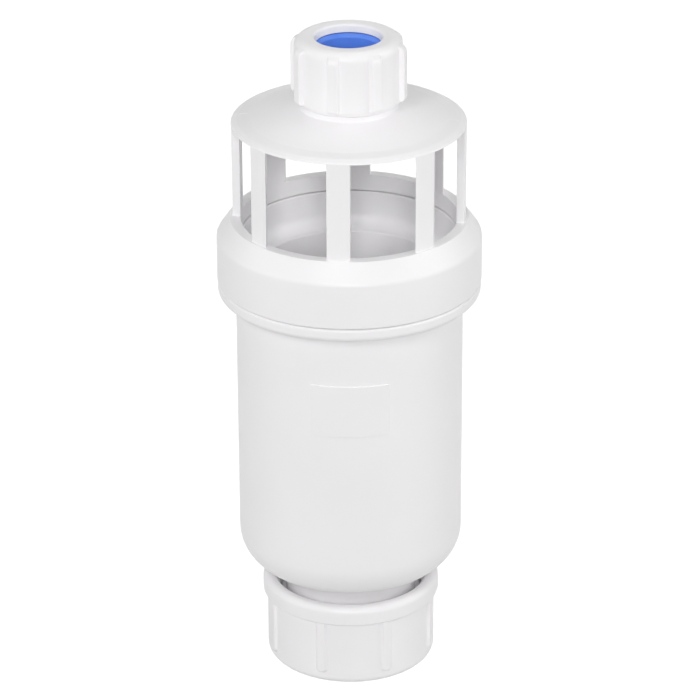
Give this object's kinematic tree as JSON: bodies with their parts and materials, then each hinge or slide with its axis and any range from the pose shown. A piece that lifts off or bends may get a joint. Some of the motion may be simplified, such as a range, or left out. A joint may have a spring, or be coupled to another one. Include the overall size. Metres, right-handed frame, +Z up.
{
  "type": "tundish",
  "caption": "Plumbing tundish: a windowed air-gap cage on a round housing with a sprung one-way valve, between ribbed compression nuts for the drain pipes.",
  "frame": {"origin": "centre of the outlet nut's bottom face, on the fitting's axis", "axes": "+Z up along the axis from the outlet nut to the inlet nut; -Y faces the viewer of the picture, +X to their right"},
  "size_m": [0.0888, 0.0888, 0.2269],
  "materials": {
    "white_polypropylene": "white moulded polypropylene, satin",
    "natural_acetal": "off-white moulded acetal",
    "blue_rubber": "blue moulded rubber",
    "black_rubber": "black moulded rubber",
    "grey_silicone": "translucent grey silicone",
    "stainless_wire": "drawn stainless spring wire"
  },
  "bodies": {
    "outlet_nut": {"outlet_nut": "white_polypropylene"},
    "outlet_seals": {"outlet_slip_washer": "natural_acetal", "outlet_seal": "black_rubber"},
    "housing": {"air_gap_cage": "white_polypropylene", "body": "white_polypropylene", "valve_carrier": "white_polypropylene", "carrier_o_ring": "black_rubber", "valve_guide": "natural_acetal", "valve_spring": "stainless_wire"},
    "valve": {"valve_disc": "natural_acetal", "valve_seal": "grey_silicone", "stem_clip": "natural_acetal"},
    "inlet_seal": {"inlet_seal": "blue_rubber"},
    "inlet_nut": {"inlet_nut": "white_polypropylene"}
  },
  "joints": [
    {"name": "outlet_nut_turn", "type": "hinge", "parent": "outlet_nut", "child": "outlet_seals", "pos_m": [0, 0, 0], "axis": [0, 0, 1], "range_deg": [0, 900]},
    {"name": "outlet_nut_lift", "type": "slide", "parent": "outlet_seals", "child": "housing", "axis": [0, 0, 1], "range_m": [0, 0.01]},
    {"name": "valve_slide", "type": "slide", "parent": "housing", "child": "valve", "axis": [0, 0, -1], "range_m": [0, 0.008], "stiffness_N_per_m": 30, "springref_m": -0.005, "deforming": ["valve_spring"]},
    {"name": "inlet_nut_lift", "type": "slide", "parent": "housing", "child": "inlet_seal", "axis": [0, 0, 1], "range_m": [0, 0.012]},
    {"name": "inlet_nut_turn", "type": "hinge", "parent": "inlet_seal", "child": "inlet_nut", "pos_m": [0, 0, 0.2158], "axis": [0, 0, 1], "range_deg": [0, 1440]}
  ],
  "couplings": [
    {"joint": "outlet_nut_lift", "follows": "outlet_nut_turn", "m_per_rad": 0.0006366},
    {"joint": "inlet_nut_lift", "follows": "inlet_nut_turn", "m_per_rad": 0.0004774}
  ]
}
